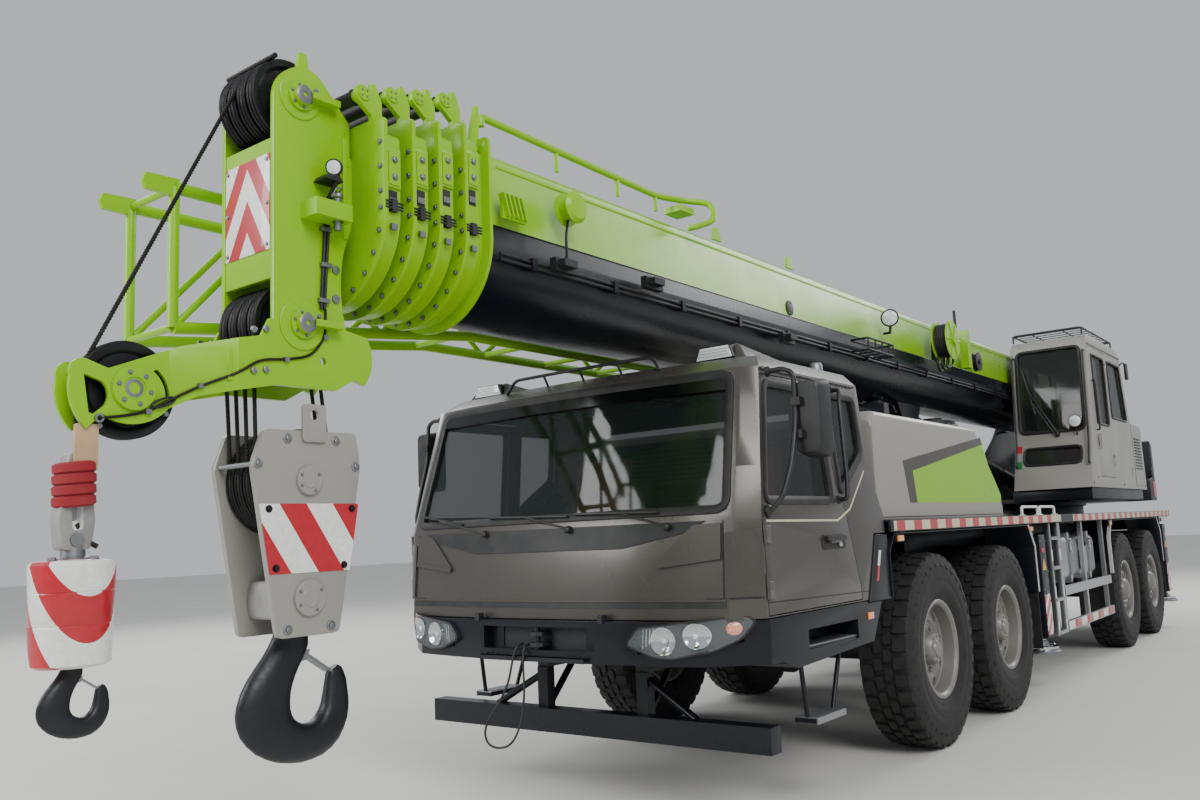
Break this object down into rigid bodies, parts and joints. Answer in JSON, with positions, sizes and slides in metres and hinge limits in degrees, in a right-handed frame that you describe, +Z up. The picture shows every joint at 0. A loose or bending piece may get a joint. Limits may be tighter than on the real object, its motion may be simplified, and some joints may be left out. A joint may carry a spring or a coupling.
{
  "type": "mobile crane",
  "caption": "All-terrain mobile crane with driver's cab, slewing superstructure, telescopic boom, lattice jib, hook blocks and outriggers.",
  "frame": {"origin": "on the ground under the middle of the machine's overall length and width", "axes": "+X forward, towards the driver's cab and boom head; +Y to the machine's left; +Z up"},
  "size_m": [15.3, 3.21, 3.8818],
  "materials": {
    "axle_iron": "rough",
    "barrel_paint": "satin",
    "block_paint": "satin",
    "boom_paint": "satin",
    "bumper_paint": "satin",
    "cab_paint": "satin",
    "clear_glass": "clear",
    "dash_plastic": "grained",
    "deck_paint": "satin",
    "engine_paint": "satin",
    "fender_paint": "satin",
    "frame_paint": "satin",
    "head_paint": "satin",
    "hood_paint": "satin",
    "hook_iron": "forged",
    "jack_chrome": "polished",
    "jib_paint": "satin",
    "lamp_lens": "clear",
    "mirror_plastic": "smooth",
    "op_paint": "satin",
    "rod_chrome": "polished",
    "seat_fabric": "woven",
    "sheave_nylon": "cast",
    "super_paint": "satin",
    "tank_metal": "brushed",
    "tread_metal": "mill",
    "tyre_rubber": "moulded",
    "weight_paint": "satin",
    "winch_steel": "turned"
  },
  "bodies": {
    "carrier": {"chassis_frame": "frame_paint", "axles": "axle_iron", "deck": "deck_paint", "fenders": "fender_paint", "engine": "engine_paint", "engine_hood": "hood_paint", "cab_shell": "cab_paint", "cab_glass": "clear_glass", "dashboard": "dash_plastic", "seats": "seat_fabric", "bumper": "bumper_paint", "lamps": "lamp_lens", "underrun_beam": "bumper_paint", "side_guards": "tread_metal", "side_tanks": "tank_metal", "outrigger_boxes": "frame_paint"},
    "door_left": {"door_left": "cab_paint", "mirror_left": "mirror_plastic"},
    "door_right": {"door_right": "cab_paint", "mirror_right": "mirror_plastic"},
    "superstructure": {"turntable": "super_paint", "operator_cab": "op_paint", "operator_glass": "clear_glass", "operator_seat": "seat_fabric", "counterweight": "weight_paint", "winches": "winch_steel"},
    "operator_door": {"operator_door": "op_paint"},
    "boom": {"boom_base": "boom_paint", "fly_jib": "jib_paint"},
    "section_1": {"boom_section_1": "boom_paint"},
    "section_2": {"boom_section_2": "boom_paint"},
    "section_3": {"boom_section_3": "boom_paint"},
    "head": {"boom_head": "head_paint", "head_sheaves": "sheave_nylon"},
    "derrick_barrel": {"derrick_barrel": "barrel_paint"},
    "derrick_rod": {"derrick_rod": "rod_chrome"},
    "main_block": {"main_block": "block_paint"},
    "main_hook": {"main_hook": "hook_iron"},
    "aux_block": {"aux_block": "block_paint"},
    "aux_hook": {"aux_hook": "hook_iron"},
    "wheel_1_left": {"wheel_1_left": "tyre_rubber"},
    "knuckle_1_left": {"knuckle_1_left": "axle_iron"},
    "wheel_2_left": {"wheel_2_left": "tyre_rubber"},
    "knuckle_2_left": {"knuckle_2_left": "axle_iron"},
    "wheel_3_left": {"wheel_3_left": "tyre_rubber"},
    "wheel_4_left": {"wheel_4_left": "tyre_rubber"},
    "outrigger_front_left": {"outrigger_front_left": "frame_paint"},
    "jack_front_left": {"jack_front_left": "jack_chrome"},
    "outrigger_rear_left": {"outrigger_rear_left": "frame_paint"},
    "jack_rear_left": {"jack_rear_left": "jack_chrome"},
    "wheel_1_right": {"wheel_1_right": "tyre_rubber"},
    "knuckle_1_right": {"knuckle_1_right": "axle_iron"},
    "wheel_2_right": {"wheel_2_right": "tyre_rubber"},
    "knuckle_2_right": {"knuckle_2_right": "axle_iron"},
    "wheel_3_right": {"wheel_3_right": "tyre_rubber"},
    "wheel_4_right": {"wheel_4_right": "tyre_rubber"},
    "outrigger_front_right": {"outrigger_front_right": "frame_paint"},
    "jack_front_right": {"jack_front_right": "jack_chrome"},
    "outrigger_rear_right": {"outrigger_rear_right": "frame_paint"},
    "jack_rear_right": {"jack_rear_right": "jack_chrome"}
  },
  "joints": [
    {"name": "steer_1_left", "type": "hinge", "parent": "carrier", "child": "knuckle_1_left", "pos_m": [2.1, 0.93, 0.672], "axis": [0, 0, 1], "range_deg": [-35, 35]},
    {"name": "spin_1_left", "type": "hinge", "parent": "knuckle_1_left", "child": "wheel_1_left", "pos_m": [2.1, 1.1685, 0.672], "axis": [0, 1, 0], "continuous": true},
    {"name": "steer_2_left", "type": "hinge", "parent": "carrier", "child": "knuckle_2_left", "pos_m": [0.504, 0.93, 0.672], "axis": [0, 0, 1], "range_deg": [-22, 22]},
    {"name": "spin_2_left", "type": "hinge", "parent": "knuckle_2_left", "child": "wheel_2_left", "pos_m": [0.504, 1.1685, 0.672], "axis": [0, 1, 0], "continuous": true},
    {"name": "spin_3_left", "type": "hinge", "parent": "carrier", "child": "wheel_3_left", "pos_m": [-4.212, 1.1685, 0.672], "axis": [0, 1, 0], "continuous": true},
    {"name": "spin_4_left", "type": "hinge", "parent": "carrier", "child": "wheel_4_left", "pos_m": [-5.822, 1.1685, 0.672], "axis": [0, 1, 0], "continuous": true},
    {"name": "extend_front_left", "type": "slide", "parent": "carrier", "child": "outrigger_front_left", "axis": [0, 1, 0], "range_m": [0, 2]},
    {"name": "lower_front_left", "type": "slide", "parent": "outrigger_front_left", "child": "jack_front_left", "axis": [0, 0, -1], "range_m": [0, 0.5]},
    {"name": "extend_rear_left", "type": "slide", "parent": "carrier", "child": "outrigger_rear_left", "axis": [0, 1, 0], "range_m": [0, 2]},
    {"name": "lower_rear_left", "type": "slide", "parent": "outrigger_rear_left", "child": "jack_rear_left", "axis": [0, 0, -1], "range_m": [0, 0.5]},
    {"name": "steer_1_right", "type": "hinge", "parent": "carrier", "child": "knuckle_1_right", "pos_m": [2.1, -0.93, 0.672], "axis": [0, 0, 1], "range_deg": [-35, 35]},
    {"name": "spin_1_right", "type": "hinge", "parent": "knuckle_1_right", "child": "wheel_1_right", "pos_m": [2.1, -1.1685, 0.672], "axis": [0, 1, 0], "continuous": true},
    {"name": "steer_2_right", "type": "hinge", "parent": "carrier", "child": "knuckle_2_right", "pos_m": [0.504, -0.93, 0.672], "axis": [0, 0, 1], "range_deg": [-22, 22]},
    {"name": "spin_2_right", "type": "hinge", "parent": "knuckle_2_right", "child": "wheel_2_right", "pos_m": [0.504, -1.1685, 0.672], "axis": [0, 1, 0], "continuous": true},
    {"name": "spin_3_right", "type": "hinge", "parent": "carrier", "child": "wheel_3_right", "pos_m": [-4.212, -1.1685, 0.672], "axis": [0, 1, 0], "continuous": true},
    {"name": "spin_4_right", "type": "hinge", "parent": "carrier", "child": "wheel_4_right", "pos_m": [-5.822, -1.1685, 0.672], "axis": [0, 1, 0], "continuous": true},
    {"name": "extend_front_right", "type": "slide", "parent": "carrier", "child": "outrigger_front_right", "axis": [0, -1, 0], "range_m": [0, 2]},
    {"name": "lower_front_right", "type": "slide", "parent": "outrigger_front_right", "child": "jack_front_right", "axis": [0, 0, -1], "range_m": [0, 0.5]},
    {"name": "extend_rear_right", "type": "slide", "parent": "carrier", "child": "outrigger_rear_right", "axis": [0, -1, 0], "range_m": [0, 2]},
    {"name": "lower_rear_right", "type": "slide", "parent": "outrigger_rear_right", "child": "jack_rear_right", "axis": [0, 0, -1], "range_m": [0, 0.5]},
    {"name": "hinge_door_left", "type": "hinge", "parent": "carrier", "child": "door_left", "pos_m": [4.592, 1.362, 1.7], "axis": [0, 0, -1], "range_deg": [0, 65]},
    {"name": "hinge_door_right", "type": "hinge", "parent": "carrier", "child": "door_right", "pos_m": [4.592, -1.362, 1.7], "axis": [0, 0, 1], "range_deg": [0, 65]},
    {"name": "slew", "type": "hinge", "parent": "carrier", "child": "superstructure", "pos_m": [-4.95, 0, 1.69], "axis": [0, 0, 1], "continuous": true},
    {"name": "hinge_operator_door", "type": "hinge", "parent": "superstructure", "child": "operator_door", "pos_m": [-4.463, 1.31, 2.8], "axis": [0, 0, 1], "range_deg": [0, 80]},
    {"name": "boom_luff", "type": "hinge", "parent": "superstructure", "child": "boom", "pos_m": [-6.25, 0, 3.05], "axis": [0, -1, 0], "range_deg": [0, 80]},
    {"name": "derrick_swing", "type": "hinge", "parent": "superstructure", "child": "derrick_barrel", "pos_m": [-4.5, 0, 2], "axis": [0, -1, 0], "range_deg": [0, 84.61]},
    {"name": "derrick_extend", "type": "slide", "parent": "derrick_barrel", "child": "derrick_rod", "axis": [0.9875, 0, 0.1575], "range_m": [0, 2.6023]},
    {"name": "telescope_1", "type": "slide", "parent": "boom", "child": "section_1", "axis": [1, 0, 0], "range_m": [0, 8.8]},
    {"name": "telescope_2", "type": "slide", "parent": "section_1", "child": "section_2", "axis": [1, 0, 0], "range_m": [0, 8.8]},
    {"name": "telescope_3", "type": "slide", "parent": "section_2", "child": "section_3", "axis": [1, 0, 0], "range_m": [0, 8.8]},
    {"name": "telescope_4", "type": "slide", "parent": "section_3", "child": "head", "axis": [1, 0, 0], "range_m": [0, 8.8]},
    {"name": "block_hang", "type": "hinge", "parent": "head", "child": "main_block", "pos_m": [6.5, 0, 2.4], "axis": [0, 1, 0], "range_deg": [0, 80]},
    {"name": "aux_hang", "type": "hinge", "parent": "head", "child": "aux_block", "pos_m": [7.31, 0, 2.22], "axis": [0, 1, 0], "range_deg": [0, 80]},
    {"name": "hook_swivel", "type": "hinge", "parent": "main_block", "child": "main_hook", "pos_m": [6.55, 0, 1.3], "axis": [0, 0, 1], "continuous": true},
    {"name": "aux_hook_swivel", "type": "hinge", "parent": "aux_block", "child": "aux_hook", "pos_m": [7.4973, 0, 1.2], "axis": [0, 0, 1], "continuous": true}
  ],
  "couplings": [
    {"joint": "steer_2_left", "follows": "steer_1_left", "ratio": 0.62},
    {"joint": "steer_1_right", "follows": "steer_1_left", "ratio": 1},
    {"joint": "steer_2_right", "follows": "steer_1_left", "ratio": 0.62},
    {"joint": "derrick_swing", "follows": "boom_luff", "ratio": 1.0513},
    {"joint": "derrick_extend", "follows": "boom_luff", "m_per_rad": 1.8623},
    {"joint": "telescope_2", "follows": "telescope_1", "ratio": 1},
    {"joint": "telescope_3", "follows": "telescope_1", "ratio": 1},
    {"joint": "telescope_4", "follows": "telescope_1", "ratio": 1},
    {"joint": "block_hang", "follows": "boom_luff", "ratio": 1},
    {"joint": "aux_hang", "follows": "boom_luff", "ratio": 1}
  ]
}
